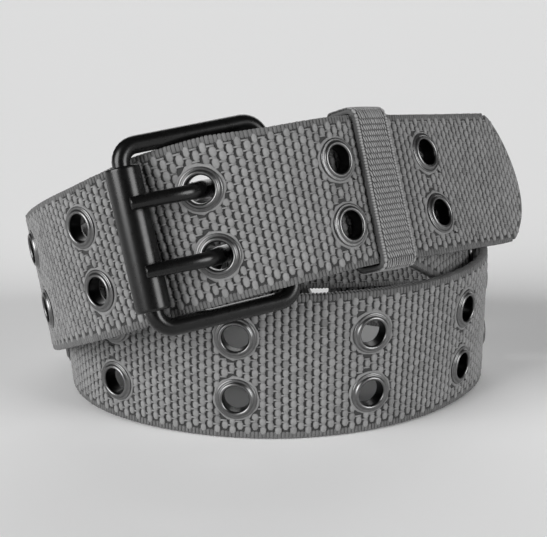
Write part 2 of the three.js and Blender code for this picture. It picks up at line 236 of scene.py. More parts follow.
rollerReach = buckle["reach"] * (1 - buckle["barShare"]) * buckle["rollerStart"]
while np.linalg.norm(rollerAt(rollerReach) - barPlace) < buckle["reach"]:
    rollerReach += buckle["reach"] * buckle["rollerStep"]
rollerPlace = rollerAt(rollerReach)
toRoller = unit(rollerPlace - barPlace)
buckleUp = overTip(0)[2]
buckleUp = unit(buckleUp - toRoller * buckleUp.dot(toRoller))
buckleOut = unit(np.cross(buckleUp, toRoller))
toRoller = turned(toRoller, buckleOut, -buckle["droop"])
buckleUp = turned(buckleUp, buckleOut, -buckle["droop"])
barAxis = (rollerPlace + barPlace) / 2 - toRoller * buckle["reach"] / 2 + buckleUp * buckle["rise"]


def bucklePlace(reach, across, out):
    return barAxis + toRoller * reach + buckleUp * across + buckleOut * out


def underTip(reach, layers):
    mark = overTip(reach)
    return mark[0] - mark[3] * layers * (belt["thick"] + belt["layerGap"]), mark[2]


# the fold round the bar, from the sewn end to where the strap runs under the tip
fold = {
    "degrees": (-100, -65, -30, 5, 40, 75, 105),
    "returnShares": (1, 0.6),
    "underShares": (0.3, 0.5, 0.75, 1),
}
foldRadius = buckle["wire"] / 2 + buckle["partGap"] + belt["thick"] / 2
foldKnots = [underTip(barReach + belt["returnReach"] * share, 2) for share in fold["returnShares"]]
for degrees in fold["degrees"]:
    turn = math.radians(degrees)
    foldKnots.append((bucklePlace(foldRadius * math.cos(turn), 0, foldRadius * math.sin(turn)), buckleUp))
keeperEnd = keeper["station"] + keeper["wide"] / 2 + keeper["clear"]
for share in fold["underShares"]:
    foldKnots.append(underTip(barReach + (keeperEnd - barReach) * share, 1))
route = makeRoute(foldKnots + rollKnots)
strapEnd = route["length"] - (outerRoute["length"] - prongMark) + belt["tipReach"]
prongPlace = strapEnd - belt["tipReach"]
foldStart = route["distances"][belt["samples"]]
foldEnd = route["distances"][belt["samples"] * (len(fold["degrees"]) + 1)]

# pairs of eyelets, counted from the tip as in the CAD, which also gives the whole roll's place
pairs = []
firstPair = math.floor((belt["tipReach"] - belt["tipBulge"] - belt["eyeletOuter"]) / belt["eyeletPitch"])
while f"eyelet_upper_{len(pairs) + 1}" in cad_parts:
    pairs.append(prongPlace + (firstPair - len(pairs)) * belt["eyeletPitch"])
eyeletSpots = [(s, w) for s in pairs for w in (belt["rowSpacing"] / 2, -belt["rowSpacing"] / 2)]
eyeletNodes = [f"eyelet_{row}_{index + 1}" for index in range(len(pairs)) for row in ("upper", "lower")]
cadCentres = np.array([sum(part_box(name), Vector()) / 2 for name in eyeletNodes]) / metre
ownFrames = framesAt(route, [s for s, w in eyeletSpots])
ownCentres = ownFrames[0] + ownFrames[2] * np.array([[w] for s, w in eyeletSpots])
shift = (cadCentres - ownCentres).mean(axis=0)
worst = abs(cadCentres - ownCentres - shift).max()
print("roll placed, worst eyelet is off by", round(float(worst), 4), "mm")


def place(points):
    return (np.asarray(points) + shift) * metre


def wrap(flat):
    # flat holds distance along the strap, distance across it and height over its middle
    at, along, across, outward = framesAt(route, flat[:, 0])
    return place(at + across * flat[:, 1:2] + outward * flat[:, 2:3])


def readPoints(mesh):
    points = np.zeros(len(mesh.vertices) * 3)
    mesh.vertices.foreach_get("co", points)
    return points.reshape(-1, 3)


def writePoints(mesh, points):
    mesh.vertices.foreach_set("co", np.ascontiguousarray(points, np.float32).ravel())
    mesh.update()


def meshOf(bm, name):
    mesh = bpy.data.meshes.new(name)
    bm.to_mesh(mesh)
    bm.free()
    return mesh


clothMapScale = 0.1  # the UV map counts centimetres


def addClothMap(mesh, flat):
    # a UV map with the cloth's own length and width
    corner = np.zeros(len(mesh.loops), np.int32)
    mesh.loops.foreach_get("vertex_index", corner)
    layer = mesh.uv_layers.new(name="cloth")
    layer.data.foreach_set("uv", (flat[corner][:, :2] * clothMapScale).astype(np.float32).ravel())


def addTone(mesh, tone):
    layer = mesh.attributes.new("tone", "FLOAT", "POINT")
    layer.data.foreach_set("value", np.asarray(tone, np.float32))


def addPiece(name, mesh, material, sharp=None):
    mesh.name = name
    mesh.materials.clear()
    mesh.materials.append(material)
    mesh.shade_smooth()
    if sharp:
        mesh.set_sharp_from_angle(angle=math.radians(sharp))
    piece = bpy.data.objects.new(name, mesh)
    bpy.context.scene.collection.objects.link(piece)
    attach(piece, "root")
    return piece


def joined(meshes, name):
    bm = bmesh.new()
    for mesh in meshes:
        bm.from_mesh(mesh)
    whole = meshOf(bm, name)
    for mesh in meshes:
        bpy.data.meshes.remove(mesh)
    return whole


# materials
class Nodes:
    # a short way to add nodes and links to one material
    def __init__(self, name):
        self.material = bpy.data.materials.new(name)
        self.material.use_nodes = True
        self.tree = self.material.node_tree
        self.shader = self.tree.nodes["Principled BSDF"]

    def add(self, kind, settings=None, **inputs):
        node = self.tree.nodes.new(kind)
        for key, value in (settings or {}).items():
            setattr(node, key, value)
        for key, value in inputs.items():
            self.feed(node, key.replace("_", " "), value)
        return node

    def feed(self, node, key, value):
        socket = node.inputs[int(key)] if key.isdigit() else node.inputs[key]
        if hasattr(value, "is_output"):
            self.tree.links.new(value, socket)
        else:
            socket.default_value = value

    def math(self, operation, first, second, third=0.0):
        node = self.tree.nodes.new("ShaderNodeMath")
        node.operation = operation
        for key, value in enumerate((first, second, third)):
            self.feed(node, str(key), value)
        return node.outputs[0]

    def mix(self, factor, first, second):
        node = self.tree.nodes.new("ShaderNodeMix")
        node.data_type = "RGBA"
        self.feed(node, "0", factor)
        self.feed(node, "6", first)
        self.feed(node, "7", second)
        return node.outputs[2]


def grey(value):
    return (value, value, value, 1)


clothLook = {
    "fineScale": 1400.0,
    "broadScale": 55.0,
    "speckle": (0.34, 0.83),  # how much the noise adds, and the least value
    "drift": (0.24, 0.88),
    "strand": (0.3, 0.85),
    "fibreHeight": 0.6,
    "fineHeight": 0.4,
    "bump": 0.5,
    "bumpDepth": 0.00012,
    "roughness": 0.82,
    "sheen": 0.12,
    "sheenRoughness": 0.45,
    "specular": 0.25,
}


def webbingMaterial(name, dark, light, fibreScale):
    n = Nodes(name)
    tone = n.add("ShaderNodeAttribute", {"attribute_name": "tone"}).outputs["Fac"]
    where = n.add("ShaderNodeTexCoord")
    at = where.outputs["Object"]
    fine = n.add("ShaderNodeTexNoise", Vector=at, Scale=clothLook["fineScale"], Detail=3.0)
    broad = n.add("ShaderNodeTexNoise", Vector=at, Scale=clothLook["broadScale"], Detail=2.0)
    stretched = n.add("ShaderNodeMapping", Vector=where.outputs["UV"], Scale=fibreScale)
    fibres = n.add("ShaderNodeTexNoise", Vector=stretched.outputs[0], Scale=1.0, Detail=2.0)
    colour = n.mix(tone, grey(dark), grey(light))
    speckle = n.math("MULTIPLY_ADD", fine.outputs[0], *clothLook["speckle"])
    drift = n.math("MULTIPLY_ADD", broad.outputs[0], *clothLook["drift"])
    strand = n.math("MULTIPLY_ADD", fibres.outputs[0], *clothLook["strand"])
    amount = n.math("MULTIPLY", n.math("MULTIPLY", speckle, drift), strand)
    shade = n.add("ShaderNodeVectorMath", {"operation": "SCALE"}, Scale=amount)
    n.feed(shade, "0", colour)
    n.feed(n.shader, "Base Color", shade.outputs[0])
    fibreRise = n.math("MULTIPLY", fibres.outputs[0], clothLook["fibreHeight"])
    fineRise = n.math("MULTIPLY", fine.outputs[0], clothLook["fineHeight"])
    height = n.math("ADD", fibreRise, fineRise)
    strength, depth = clothLook["bump"], clothLook["bumpDepth"]
    bump = n.add("ShaderNodeBump", Height=height, Strength=strength, Distance=depth)
    n.feed(n.shader, "Normal", bump.outputs[0])
    n.shader.inputs["Roughness"].default_value = clothLook["roughness"]
    n.shader.inputs["Sheen Weight"].default_value = clothLook["sheen"]
    n.shader.inputs["Sheen Roughness"].default_value = clothLook["sheenRoughness"]
    n.shader.inputs["Specular IOR Level"].default_value = clothLook["specular"]
    return n.material


metalLook = {
    "broadShare": 0.12,  # of the grain's scale
    "shades": (0.75, 1.7),
    "barrelPaintedShade": 0.1,
    "wornRough": 0.22,
    "smoothest": 0.05,  # below the roughness that is asked for
    "bump": 0.12,
    "bumpDepth": 0.00004,
}


def metalMaterial(name, colour, metallic, roughness, specular, grain, toned=False):
    n = Nodes(name)
    where = n.add("ShaderNodeTexCoord")
    wear = n.add("ShaderNodeTexNoise", Vector=where.outputs["Object"], Scale=grain, Detail=4.0)
    broadScale = grain * metalLook["broadShare"]
    broad = n.add("ShaderNodeTexNoise", Vector=where.outputs["Object"], Scale=broadScale, Detail=2.0)
    mixed = n.math("MULTIPLY", wear.outputs[0], broad.outputs[0])
    plain = n.mix(mixed, *(grey(colour * shade) for shade in metalLook["shades"]))
    # painted shade: the eyelet's barrel is coloured dark where the hole is in shade
    if toned:
        tone = n.add("ShaderNodeAttribute", {"attribute_name": "tone"}).outputs["Fac"]
        plain = n.mix(tone, grey(colour * metalLook["barrelPaintedShade"]), plain)
    n.feed(n.shader, "Base Color", plain)
    rough = n.math("MULTIPLY_ADD", mixed, metalLook["wornRough"], roughness - metalLook["smoothest"])
    n.feed(n.shader, "Roughness", rough)
    strength, depth = metalLook["bump"], metalLook["bumpDepth"]
    bump = n.add("ShaderNodeBump", Height=wear.outputs[0], Strength=strength, Distance=depth)
    n.feed(n.shader, "Normal", bump.outputs[0])
    n.shader.inputs["Metallic"].default_value = metallic
    n.shader.inputs["Specular IOR Level"].default_value = specular
    return n.material


strapCloth = webbingMaterial("greyWebbing", 0.03, 0.24, (110.0, 14.0, 1.0))
keeperCloth = webbingMaterial("fineWebbing", 0.06, 0.34, (14.0, 110.0, 1.0))
threadCloth = webbingMaterial("greyThread", 0.05, 0.25, (60.0, 60.0, 1.0))
blackGloss = metalMaterial("blackEnamel", 0.002, 0.0, 0.28, 0.4, 900.0)
gunmetal = metalMaterial("gunmetalPlate", 0.17, 1.0, 0.33, 0.5, 1400.0, toned=True)
print("materials made")

# the strap's ground: the tightly packed yarn under the floats
weave = {
    "pitch": 1.9,  # from one column of floats to the next
    "rise": 2.33,  # from one float to the next in a column
    "rows": 15,
    "floatLong": 1.1,  # half the float's length, across the strap
    "floatWide": 0.8,
    "floatHigh": 0.42,
    "bore": 4.3,
    "flange": 5.3,
    "selvedge": 16.9,
    "stretches": 4,  # the floats are made in this many pieces
    "foldStep": 0.62,  # finer steps of the ground through the fold
    "middleLines": (0, 1.9, 3.8),  # the ground's lines along the strap, from the middle out
    "edgeLines": (12, 13.8, 15.6, 17.0, 17.9),
    "tipCrowd": 22,  # length over which the lines close up to follow the round tip
    "tipSeal": 0.9,
    "thinFrom": 16.2,  # the ground thins towards both edges
    "thinRun": 1.7,
    "thinShare": 0.55,
    # painted shade: the ground between the floats is coloured dark for the shade in the gaps
    "groundShade": 0.06,
}
# the cloth that an eyelet presses up: distance from its middle and height
collar = {
    "profile": ((5.0, 0.8), (5.6, 0.8), (5.86, 1.0), (5.7, 1.26), (5.38, 1.36), (5.0, 1.2)),
    "steps": 26,
    "jagFrom": 5.5,
    "jag": 0.16,
    "tone": 0.86,
}
# distance from the prong pair, then how far the upper and lower edges stand off the even width
edgeTable = (
    (-460, 0, 0), (-430, 0.5, 0), (-300, 0.6, 0), (-250, 0, 0), (-100, -0.2, 0.3), (-68, -0.7, 0.9),
    (-45, -0.6, 1.2), (-34, -0.4, 1.4), (-22, 0.3, 1.1), (-14, 1.3, 0.8), (4, 1.3, 0.7), (10, 0.6, 0.6),
    (18, 0, 0.5), (34, 0, 0), (60, -0.2, 0), (80, 0, 0), (100, 0.3, -0.5), (117, 0.4, -1.0),
)
edgeMove = {"from": 12, "run": 6.5}
halfThick = belt["thick"] / 2
groundHalf = halfThick - weave["floatHigh"]


def smoothStep(x):
    x = np.clip(x, 0, 1)
    return x * x * (3 - 2 * x)


def tipLimit(w):
    return strapEnd - belt["tipBulge"] * (w / (belt["width"] / 2)) ** 2


def nearSlot(s, w, spare):
    side = abs(abs(w) - belt["rowSpacing"] / 2)
    inRun = (s > foldStart - 1 - spare) & (s < foldEnd + belt["slotRun"] + spare)
    return (side < belt["slotWide"] / 2 + spare) & inRun


def layReturn(flat):
    # the folded end lies against the strap that it is sewn to
    share = smoothStep((foldStart + 1.0 - flat[:, 0]) / (foldStart / 2))
    moved = flat.copy()
    moved[:, 2] -= (belt["layerGap"] - 0.1) * share
    return moved


def moveEdges(flat):
    # the real strap is a little wider here and narrower there
    stations, upper, lower = np.array(edgeTable, float).T
    reach = flat[:, 0] - prongPlace
    extra = np.where(flat[:, 1] > 0, np.interp(reach, stations, upper), np.interp(reach, stations, lower))
    moved = flat.copy()
    share = np.clip((abs(flat[:, 1]) - edgeMove["from"]) / edgeMove["run"], 0, 1)
    moved[:, 1] += np.sign(flat[:, 1]) * extra * share
    return moved


def makeGround():
    finish = foldEnd + belt["slotRun"] + 2
    firstColumn = math.ceil((finish - prongPlace) / weave["pitch"])
    lastColumn = math.floor((strapEnd - prongPlace) / weave["pitch"])
    columns = prongPlace + weave["pitch"] * np.arange(firstColumn, lastColumn + 1)
    ends = [strapEnd - weave["tipSeal"], strapEnd]
    alongLines = np.concatenate([np.arange(0, finish, weave["foldStep"]), columns, ends])
    alongLines = np.unique(np.round(alongLines[alongLines <= strapEnd], 4))
    slot = belt["slotWide"] / 2
    row = belt["rowSpacing"] / 2
    slotLines = (row - slot, row - slot / 2, row, row + slot / 2, row + slot)
    side = np.array([*weave["middleLines"], *slotLines, *weave["edgeLines"]])
    acrossLines = np.concatenate([-side[:0:-1], side])
    bm = bmesh.new()
    bmesh.ops.create_grid(bm, x_segments=len(alongLines) - 1, y_segments=len(acrossLines) - 1, size=0.5)
    for vert in bm.verts:
        column = round((vert.co.x + 0.5) * (len(alongLines) - 1))
        line = round((vert.co.y + 0.5) * (len(acrossLines) - 1))
        s, w = alongLines[column], acrossLines[line]
        crowd = smoothStep((s - (strapEnd - weave["tipCrowd"])) / weave["tipCrowd"])
        vert.co = (s - (strapEnd - tipLimit(w)) * crowd, w, 0)
    gone = []
    spots = np.array(eyeletSpots)
    for face in bm.faces:
        c = face.calc_center_median()
        if np.hypot(spots[:, 0] - c.x, spots[:, 1] - c.y).min() < weave["bore"] or nearSlot(c.x, c.y, 0):
            gone.append(face)
    bmesh.ops.delete(bm, geom=gone, context="FACES")
    for vert in bm.verts:
        if vert.is_boundary:
            away = np.hypot(spots[:, 0] - vert.co.x, spots[:, 1] - vert.co.y)
            nearest = away.argmin()
            if away[nearest] < weave["bore"] * 1.5:
                centre = Vector((*spots[nearest], 0))
                vert.co = centre + (vert.co - centre).normalized() * weave["bore"]
    bmesh.ops.solidify(bm, geom=bm.faces[:], thickness=1.0)
    bmesh.ops.recalc_face_normals(bm, faces=bm.faces[:])
    mesh = meshOf(bm, "ground")
    flat = readPoints(mesh)
    level = np.sign(flat[:, 2] - flat[:, 2].mean())
    edge = np.clip((abs(flat[:, 1]) - weave["thinFrom"]) / weave["thinRun"], 0, 1)
    sealed = smoothStep((flat[:, 0] - tipLimit(flat[:, 1]) + 1.1) / 0.6)  # the heat-sealed end
    high = groundHalf * np.sqrt(1 - weave["thinShare"] * edge**2) + sealed * (halfThick - groundHalf) * 0.8
    flat[:, 2] = level * high
    # the ground's tone is painted shade for the gaps between floats, and lighter at the heat-sealed end
    return mesh, flat, weave["groundShade"] + 0.55 * sealed


def spinProfile(outline, steps, axis=(0, 0, 1), centre=(0, 0, 0)):
    # a closed outline of points turned once round an axis
    bm = bmesh.new()
    verts = [bm.verts.new(point) for point in outline]
    edges = [bm.edges.new((a, b)) for a, b in zip(verts, verts[1:] + verts[:1])]
    bmesh.ops.spin(
        bm, geom=verts + edges, cent=centre, axis=axis, angle=2 * math.pi, steps=steps, use_merge=True
    )
    bmesh.ops.recalc_face_normals(bm, faces=bm.faces[:])
    return meshOf(bm, "turned")


def collarOf(spot, side, jag):
    mesh = spinProfile([(r, 0, h) for r, h in collar["profile"]], collar["steps"])
    flat = readPoints(mesh)
    angle = np.arctan2(flat[:, 1], flat[:, 0])
    reach = np.hypot(flat[:, 0], flat[:, 1])
    uneven = np.sin(angle * 7 + jag) + 0.8 * np.sin(angle * 12 - 2 * jag)
    grown = reach + (reach > collar["jagFrom"]) * collar["jag"] * uneven
    flat[:, 0] *= grown / reach
    flat[:, 1] *= side * grown / reach
    flat[:, 2] *= side
    flat[:, :2] += spot
    return mesh, flat


def pileUp(parts, name):
    # joins flat parts, each with its mesh, flat points and tone, and wraps them on the roll
    meshes = [mesh for mesh, flat, tone in parts]
    whole = joined(meshes, name)
    flat = np.vstack([flat for mesh, flat, tone in parts])
    addClothMap(whole, flat)
    addTone(whole, np.concatenate([tone for mesh, flat, tone in parts]))
    writePoints(whole, wrap(layReturn(moveEdges(flat))))
    return whole


groundParts = [makeGround()]
for number, spot in enumerate(eyeletSpots):
    for side in (1, -1):
        mesh, flat = collarOf(spot, side, number * 1.7 + side)
        groundParts.append((mesh, flat, np.full(len(flat), collar["tone"])))
ground = addPiece("strap_ground", pileUp(groundParts, "strap_ground"), strapCloth, 50)
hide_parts("strap")
print("ground made", len(ground.data.polygons))


# the floats: rounded pads of yarn in a brick pattern on both faces
pad = {
    # share of the width, share of the length, height and tone of the float's three rings; the tone is
    # painted shade, dark at the base ring and light at the crown, for the shade between floats
    "rings": ((1.0, 1.0, -0.22, 0.02), (0.97, 0.98, 0.2, 0.5), (0.66, 0.76, weave["floatHigh"], 0.93)),
    "cornerWide": 0.5,
    "cornerLong": 0.44,
    "thread": 0.25,
    "threadRun": 1.7,
    "clear": 0.45,  # from an eyelet's flange
    "slotClear": 0.75,
}


def stackedRings(bm):
    # three rings of eight corners, one over the other, closed at both ends
    turn = Matrix.Rotation(math.pi / 8, 4, "Z")
    low = bmesh.ops.create_circle(bm, cap_ends=True, radius=1.0, segments=8, matrix=turn)["verts"]
    middle = bmesh.ops.extrude_face_region(bm, geom=[low[0].link_faces[0]], use_keep_orig=True)["geom"]
    middleFace = next(g for g in middle if isinstance(g, bmesh.types.BMFace))
    high = bmesh.ops.extrude_face_region(bm, geom=[middleFace])["geom"]
    return [low] + [[g for g in part if isinstance(g, bmesh.types.BMVert)] for part in (middle, high)]


def makeFloat(bm, x, y):
    rings = stackedRings(bm)
    for verts, (wide, long, level, shade) in zip(rings, pad["rings"]):
        for vert in verts:
            across = math.copysign(1.0 if abs(vert.co.x) > 0.5 else pad["cornerWide"], vert.co.x)
            up = math.copysign(1.0 if abs(vert.co.y) > 0.5 else pad["cornerLong"], vert.co.y)
            vert.co = (x + across * wide * weave["floatWide"], y + up * long * weave["floatLong"], level)
    return sum(len(verts) for verts in rings)


def makeThread(bm, x, y):
    # the thin thread that shows between two floats of a column
    turnOver = Matrix.Rotation(math.pi / 2, 4, "Y")
    made = bmesh.ops.create_cone(
        bm, cap_ends=True, segments=3, radius1=pad["thread"], radius2=pad["thread"],
        depth=pad["threadRun"], matrix=turnOver,
    )
    for vert in made["verts"]:
        vert.co = (x + vert.co.x - 0.35, y + vert.co.y, vert.co.z + 0.17)
    return len(made["verts"])


def arrayed(mesh, countAlong, stepAlong, countAcross, stepAcross):
    carrier = bpy.data.objects.new("carrier", mesh)
    bpy.context.scene.collection.objects.link(carrier)
    for count, step in ((countAlong, (stepAlong, 0, 0)), (countAcross, (0, stepAcross, 0))):
        array = carrier.modifiers.new("array", "ARRAY")
        array.use_relative_offset = False
        array.use_constant_offset = True
        array.constant_offset_displace = step
        array.count = count
    seen = carrier.evaluated_get(bpy.context.evaluated_depsgraph_get())
    made = bpy.data.meshes.new_from_object(seen)
    bpy.data.objects.remove(carrier)
    bpy.data.meshes.remove(mesh)
    return made


def keepOnly(mesh, keep):
    bm = bmesh.new()
    bm.from_mesh(mesh)
    bmesh.ops.delete(bm, geom=[vert for vert, stays in zip(bm.verts, keep) if not stays], context="VERTS")
    bm.to_mesh(mesh)
    bm.free()
    mesh.update()


def floatStretch(firstColumn, columns, side):
    # one stretch of floats on one face; side is 1 on the outer face and -1 on the inner one
    bm = bmesh.new()
    counts = []
    for x, y in ((0.5 * weave["pitch"], 0), (1.5 * weave["pitch"], weave["rise"] / 2)):
        counts.append(makeFloat(bm, x, y))
        counts.append(makeThread(bm, x, y + weave["rise"] / 2))
    bmesh.ops.recalc_face_normals(bm, faces=bm.faces[:])
    bmesh.ops.translate(bm, verts=bm.verts[:], vec=(0, -weave["rise"] * (weave["rows"] - 1) / 2, 0))
    pairCount = math.ceil(columns / 2)
    mesh = arrayed(meshOf(bm, "floats"), pairCount, 2 * weave["pitch"], weave["rows"], weave["rise"])
    points = readPoints(mesh).reshape(-1, sum(counts), 3)
    points[..., 0] += prongPlace + firstColumn * weave["pitch"]
    keep = np.zeros(points.shape[:2], bool)
    tone = np.zeros(points.shape[:2])
    spots = np.array(eyeletSpots)
    levels = [ring[2] for ring in pad["rings"]]
    paintedShades = [ring[3] for ring in pad["rings"]]
    start = 0
    for kind, count in enumerate(counts):
        part = points[:, start:start + count]
        centre = part[..., :2].mean(axis=1)
        s, w = centre[:, 0], centre[:, 1]
        away = np.hypot(s[:, None] - spots[:, 0], w[:, None] - spots[:, 1]).min(axis=1)
        stays = (away > weave["flange"] + pad["clear"]) & ~nearSlot(s, w, pad["slotClear"])
        stays &= (s > 0.9) & (s < tipLimit(w) - 0.75) & (abs(w) < weave["selvedge"])
        keep[:, start:start + count] = stays[:, None]
        level = part[..., 2]
        loose = draw.normal(0, 1, (len(part), 4))
        if kind % 2 == 0:
            part[..., 0] = s[:, None] + (part[..., 0] - s[:, None]) * (1 + 0.05 * loose[:, :1])
            part[..., 0] += 0.035 * loose[:, 1:2]
            part[..., 1] = w[:, None] + (part[..., 1] - w[:, None]) * (1 + 0.03 * loose[:, 2:3])
            part[..., 2] = np.where(level > 0, level * (1 + 0.07 * loose[:, 3:4]), level)
            # painted shade: each float's colour runs from dark at its base to light at its crown, with a
            # small random spread
            tone[:, start:start + count] = np.interp(level, levels, paintedShades) * (1 + 0.06 * loose[:, 3:4])
        else:
            part[..., 1] += 0.05 * loose[:, :1]
            tone[:, start:start + count] = 1.0 + 0.1 * loose[:, 1:2]
        start += count
    points[..., 2] += groundHalf
    points[..., 1:] *= side
    keep = keep.ravel()
    keepOnly(mesh, keep)
    return mesh, points.reshape(-1, 3)[keep], tone.ravel()[keep]


firstColumn = -math.floor(prongPlace / weave["pitch"])
allColumns = math.floor((strapEnd - prongPlace) / weave["pitch"]) - firstColumn
stretchColumns = 2 * math.ceil(allColumns / weave["stretches"] / 2)
for stretch in range(weave["stretches"]):
    start = firstColumn + stretch * stretchColumns
    columns = min(stretchColumns, firstColumn + allColumns - start)
    name = f"strap_floats_{stretch + 1}"
    parts = [floatStretch(start, columns, side) for side in (1, -1)]
    floats = addPiece(name, pileUp(parts, name), strapCloth)
    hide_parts("strap")
    print(name, len(floats.data.polygons))


# the selvedges: fine ribs that wrap both edges
selvedge = {
    "pitch": 0.95,
    "wide": 0.92,
    "long": 1.7,
    "high": 2.3,
    "edge": 18.45,
    "bevel": 0.22,
    "tone": 0.45,
}


def makeRib():
    bm = bmesh.new()
    bmesh.ops.create_cube(bm, size=1.0)
    bmesh.ops.scale(bm, verts=bm.verts[:], vec=(selvedge["wide"], selvedge["long"], selvedge["high"]))
    bmesh.ops.bevel(
        bm, geom=bm.edges[:], offset=selvedge["bevel"], offset_type="OFFSET", affect="EDGES",
        segments=1, profile=0.5, material=-1,
    )
    return bm


selvedgeParts = []
ribCount = math.floor((strapEnd - belt["tipBulge"] - 0.6) / selvedge["pitch"])
for side in (1, -1):
    bm = makeRib()
    bmesh.ops.translate(bm, verts=bm.verts[:], vec=(selvedge["pitch"] / 2, 0, 0))
    single = len(bm.verts)
    mesh = arrayed(meshOf(bm, "ribs"), ribCount, selvedge["pitch"], 1, 0)
    points = readPoints(mesh).reshape(-1, single, 3)
    loose = draw.normal(0, 1, (len(points), 2))
    points[..., 1] *= 1 + 0.03 * loose[:, :1]
    points[..., 2] *= 1 + 0.03 * loose[:, 1:]
    tone = np.full(points.shape[:2], selvedge["tone"]) + 0.04 * loose[:, :1]
    points[..., 1] += selvedge["edge"] - selvedge["long"] / 2
    points[..., 1:] *= side
    selvedgeParts.append((mesh, points.reshape(-1, 3), tone.ravel()))
edges = addPiece("strap_selvedges", pileUp(selvedgeParts, "strap_selvedges"), strapCloth)
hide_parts("strap")
print("selvedges made", len(edges.data.polygons))


# eyelets: a drawn barrel with a rolled double rim on both faces
eyelet = {
    "rim": (
        (3.35, 0.0), (3.35, 1.3), (3.41, 1.68), (3.58, 1.96), (3.82, 2.1), (4.08, 2.1), (4.32, 1.96),
        (4.48, 1.72), (4.56, 1.56), (4.72, 1.53), (4.98, 1.58), (5.2, 1.52), (5.32, 1.36), (5.28, 1.2),
        (5.1, 1.12), (4.3, 1.12), (3.78, 1.05), (3.72, 0.8), (3.72, 0.0),
    ),
    "steps": 40,
    "barrel": 3.38,  # the drawn barrel is painted dark inside this, as shade in the hole
    "barrelFade": 0.25,
}


def makeEyelet():
    upper = [(r, 0, h) for r, h in eyelet["rim"]]
    lower = [(r, 0, -h) for r, y, h in reversed(upper[1:-1])]
    return spinProfile(upper + lower, eyelet["steps"])


def basisMatrix(at, along, across, outward):
    rows = [[*axes, point] for *axes, point in zip(along, across, outward, at)]
    return Matrix(rows + [[0, 0, 0, 1]])


eyeletMesh = makeEyelet()
eyeletPoints = readPoints(eyeletMesh)
eyeletReach = np.hypot(eyeletPoints[:, 0], eyeletPoints[:, 1])
# painted shade inside the eyelet's hole: the barrel's colour is darkened
barrelShadeMask = smoothStep((eyeletReach - eyelet["barrel"]) / eyelet["barrelFade"])
for row, offset in (("upper", 0), ("lower", 1)):
    bm = bmesh.new()
    for spot in eyeletSpots[offset::2]:
        at, along, across, outward = (rows[0] for rows in framesAt(route, spot[0]))
        copy = eyeletMesh.copy()
        middle = place(at + across * spot[1])
        copy.transform(basisMatrix(middle, along * metre, across * metre, outward * metre))
        bm.from_mesh(copy)
        bpy.data.meshes.remove(copy)
    rings = meshOf(bm, "eyelets")
    addTone(rings, np.tile(barrelShadeMask, len(pairs)))
    ring = addPiece(f"eyelets_{row}", rings, gunmetal)
    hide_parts(*eyeletNodes[offset::2])
print("eyelets made")


# buckle: round wire frame, roller and two prongs
wireShape = {"cornerSteps": 8, "segments": 28}
rollerShape = {
    # distance from the axis and distance from the sleeve's end
    "profile": ((2.45, 0.6), (2.6, 0.25), (3.3, 0.0), (3.8, 0.0), (4.05, 0.12), (4.17, 0.38), (4.2, 0.8)),
    "steps": 56,
}
prongShape = {
    "curlDegrees": (130, 165, 200, 235, 270),
    "marks": (0, 3.5, 5, 6, 7, 8, 9),  # points along the prong where its half width and height are given
    "wide": (1.9, 1.9, 2.0, 2.15, 1.8, 1.72, 1.5),
    "high": (1.2, 1.2, 1.4, 1.6, 1.6, 1.55, 1.4),
    "stations": 55,
    "segments": 20,
    "bevel": 0.32,
}


def buckleMatrix():
    return basisMatrix(place(barAxis), toRoller * metre, -buckleUp * metre, buckleOut * metre)


def tube(bm, stations, segments, closed=False, bevelEnds=0.0):
    # stations are (centre, along, side, half width, half height); rings are bridged one to the next
    rings = []
    for centre, along, side, wide, high in stations:
        along, side = Vector(along).normalized(), Vector(side)
        side = (side - along * side.dot(along)).normalized()
        up = along.cross(side)
        matrix = basisMatrix(centre, side * wide, up * high, along)
        made = bmesh.ops.create_circle(bm, cap_ends=False, radius=1.0, segments=segments, matrix=matrix)
        rings.append(list({edge for vert in made["verts"] for edge in vert.link_edges}))
    following = rings[1:] + (rings[:1] if closed else [])
    for first, second in zip(rings, following):
        bmesh.ops.bridge_loops(bm, edges=first + second)
    if not closed:
        for ring in (rings[0], rings[-1]):
            cap = bmesh.ops.edgeloop_fill(bm, edges=ring)["faces"]
            if bevelEnds:
                rim = list({edge for face in cap for edge in face.edges})
                bmesh.ops.bevel(
                    bm, geom=rim, offset=bevelEnds, offset_type="OFFSET", affect="EDGES",
                    segments=3, profile=0.5, material=-1,
                )
    bmesh.ops.recalc_face_normals(bm, faces=bm.faces[:])


def frameStations():
    half = buckle["height"] / 2
    corner = buckle["corner"]
    wire = buckle["wire"] / 2
    stations = []
    far = buckle["reach"] - corner
    side = half - corner
    steps = wireShape["cornerSteps"]
    for x, y, start in ((far, -side, -90), (far, side, 0), (corner, side, 90), (corner, -side, 180)):
        for step in range(steps + 1):
            angle = math.radians(start + 90 * step / steps)
            outward = Vector((math.cos(angle), math.sin(angle), 0))
            along = Vector((-math.sin(angle), math.cos(angle), 0))
            stations.append((Vector((x, y, 0)) + outward * corner, along, (0, 0, 1), wire, wire))
    return stations


bm = bmesh.new()
tube(bm, frameStations(), wireShape["segments"], closed=True)
mesh = meshOf(bm, "frame")
mesh.transform(buckleMatrix())
wireFrame = addPiece("buckle_wire", mesh, blackGloss)
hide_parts("buckle_frame")

halfRoller = buckle["rollerLength"] / 2
outline = [(buckle["reach"] + r, h - halfRoller, 0) for r, h in rollerShape["profile"]]
outline += [(x, -y, 0) for x, y, z in reversed(outline)]
mesh = spinProfile(outline, rollerShape["steps"], axis=(0, 1, 0), centre=(buckle["reach"], 0, 0))
mesh.transform(buckleMatrix())
sleeve = addPiece("roller_sleeve", mesh, blackGloss)
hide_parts("roller")

